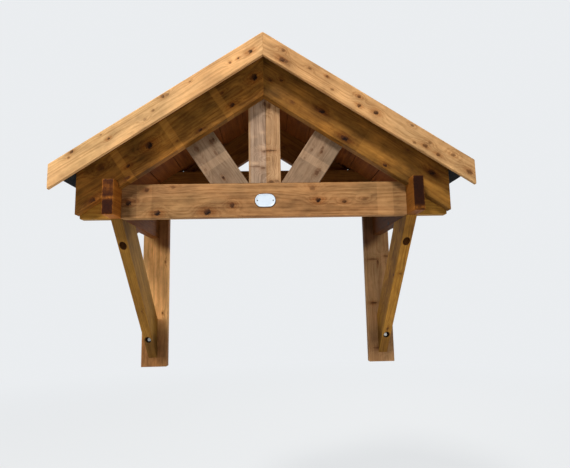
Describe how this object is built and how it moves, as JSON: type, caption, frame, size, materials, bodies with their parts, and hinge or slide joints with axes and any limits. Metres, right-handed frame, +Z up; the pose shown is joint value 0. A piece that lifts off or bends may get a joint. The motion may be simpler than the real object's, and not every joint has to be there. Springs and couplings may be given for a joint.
{
  "type": "porch canopy",
  "caption": "Open apex porch canopy: softwood truss, boarded felt roof and bargeboards on two braced wall brackets.",
  "frame": {"origin": "back face of the wall king post, on the wall plane, at the middle height of the wall collar", "axes": "+Y into the wall, so the canopy stands out along -Y; +X to the right of someone facing the wall; +Z up"},
  "size_m": [1.704, 0.835, 1.4565],
  "materials": {
    "bracket_timber": "planed softwood, weathered",
    "bolt_steel": "zinc plated",
    "truss_timber": "planed softwood with knots",
    "web_timber": "planed softwood, paler",
    "wall_timber": "planed softwood, darker stain",
    "roof_board": "sawn softwood, red-brown stain",
    "barge_timber": "planed softwood, golden, with knots",
    "roof_felt": "matt bituminous sheet",
    "plate_enamel": "white gloss"
  },
  "bodies": {
    "root": {"wall_post_left": "bracket_timber", "wall_post_right": "bracket_timber", "bracket_arm_left": "bracket_timber", "bracket_arm_right": "bracket_timber", "bracket_brace_left": "bracket_timber", "bracket_brace_right": "bracket_timber", "brace_bolt_upper_left": "bolt_steel", "brace_bolt_upper_right": "bolt_steel", "brace_bolt_lower_left": "bolt_steel", "brace_bolt_lower_right": "bolt_steel", "front_rafter_left": "truss_timber", "front_rafter_right": "truss_timber", "tie_beam": "truss_timber", "tie_stub_left": "truss_timber", "tie_stub_right": "truss_timber", "king_post": "web_timber", "strut_left": "web_timber", "strut_right": "web_timber", "wall_rafter_left": "wall_timber", "wall_rafter_right": "wall_timber", "wall_king_post": "wall_timber", "wall_collar": "wall_timber", "roof_boards_left": "roof_board", "roof_boards_right": "roof_board", "barge_board_left": "barge_timber", "barge_board_right": "barge_timber", "roof_felt_left": "roof_felt", "roof_felt_right": "roof_felt", "verge_strip_left": "roof_felt", "verge_strip_right": "roof_felt", "ridge_capping": "roof_felt", "oval_plate": "plate_enamel"}
  },
  "joints": []
}
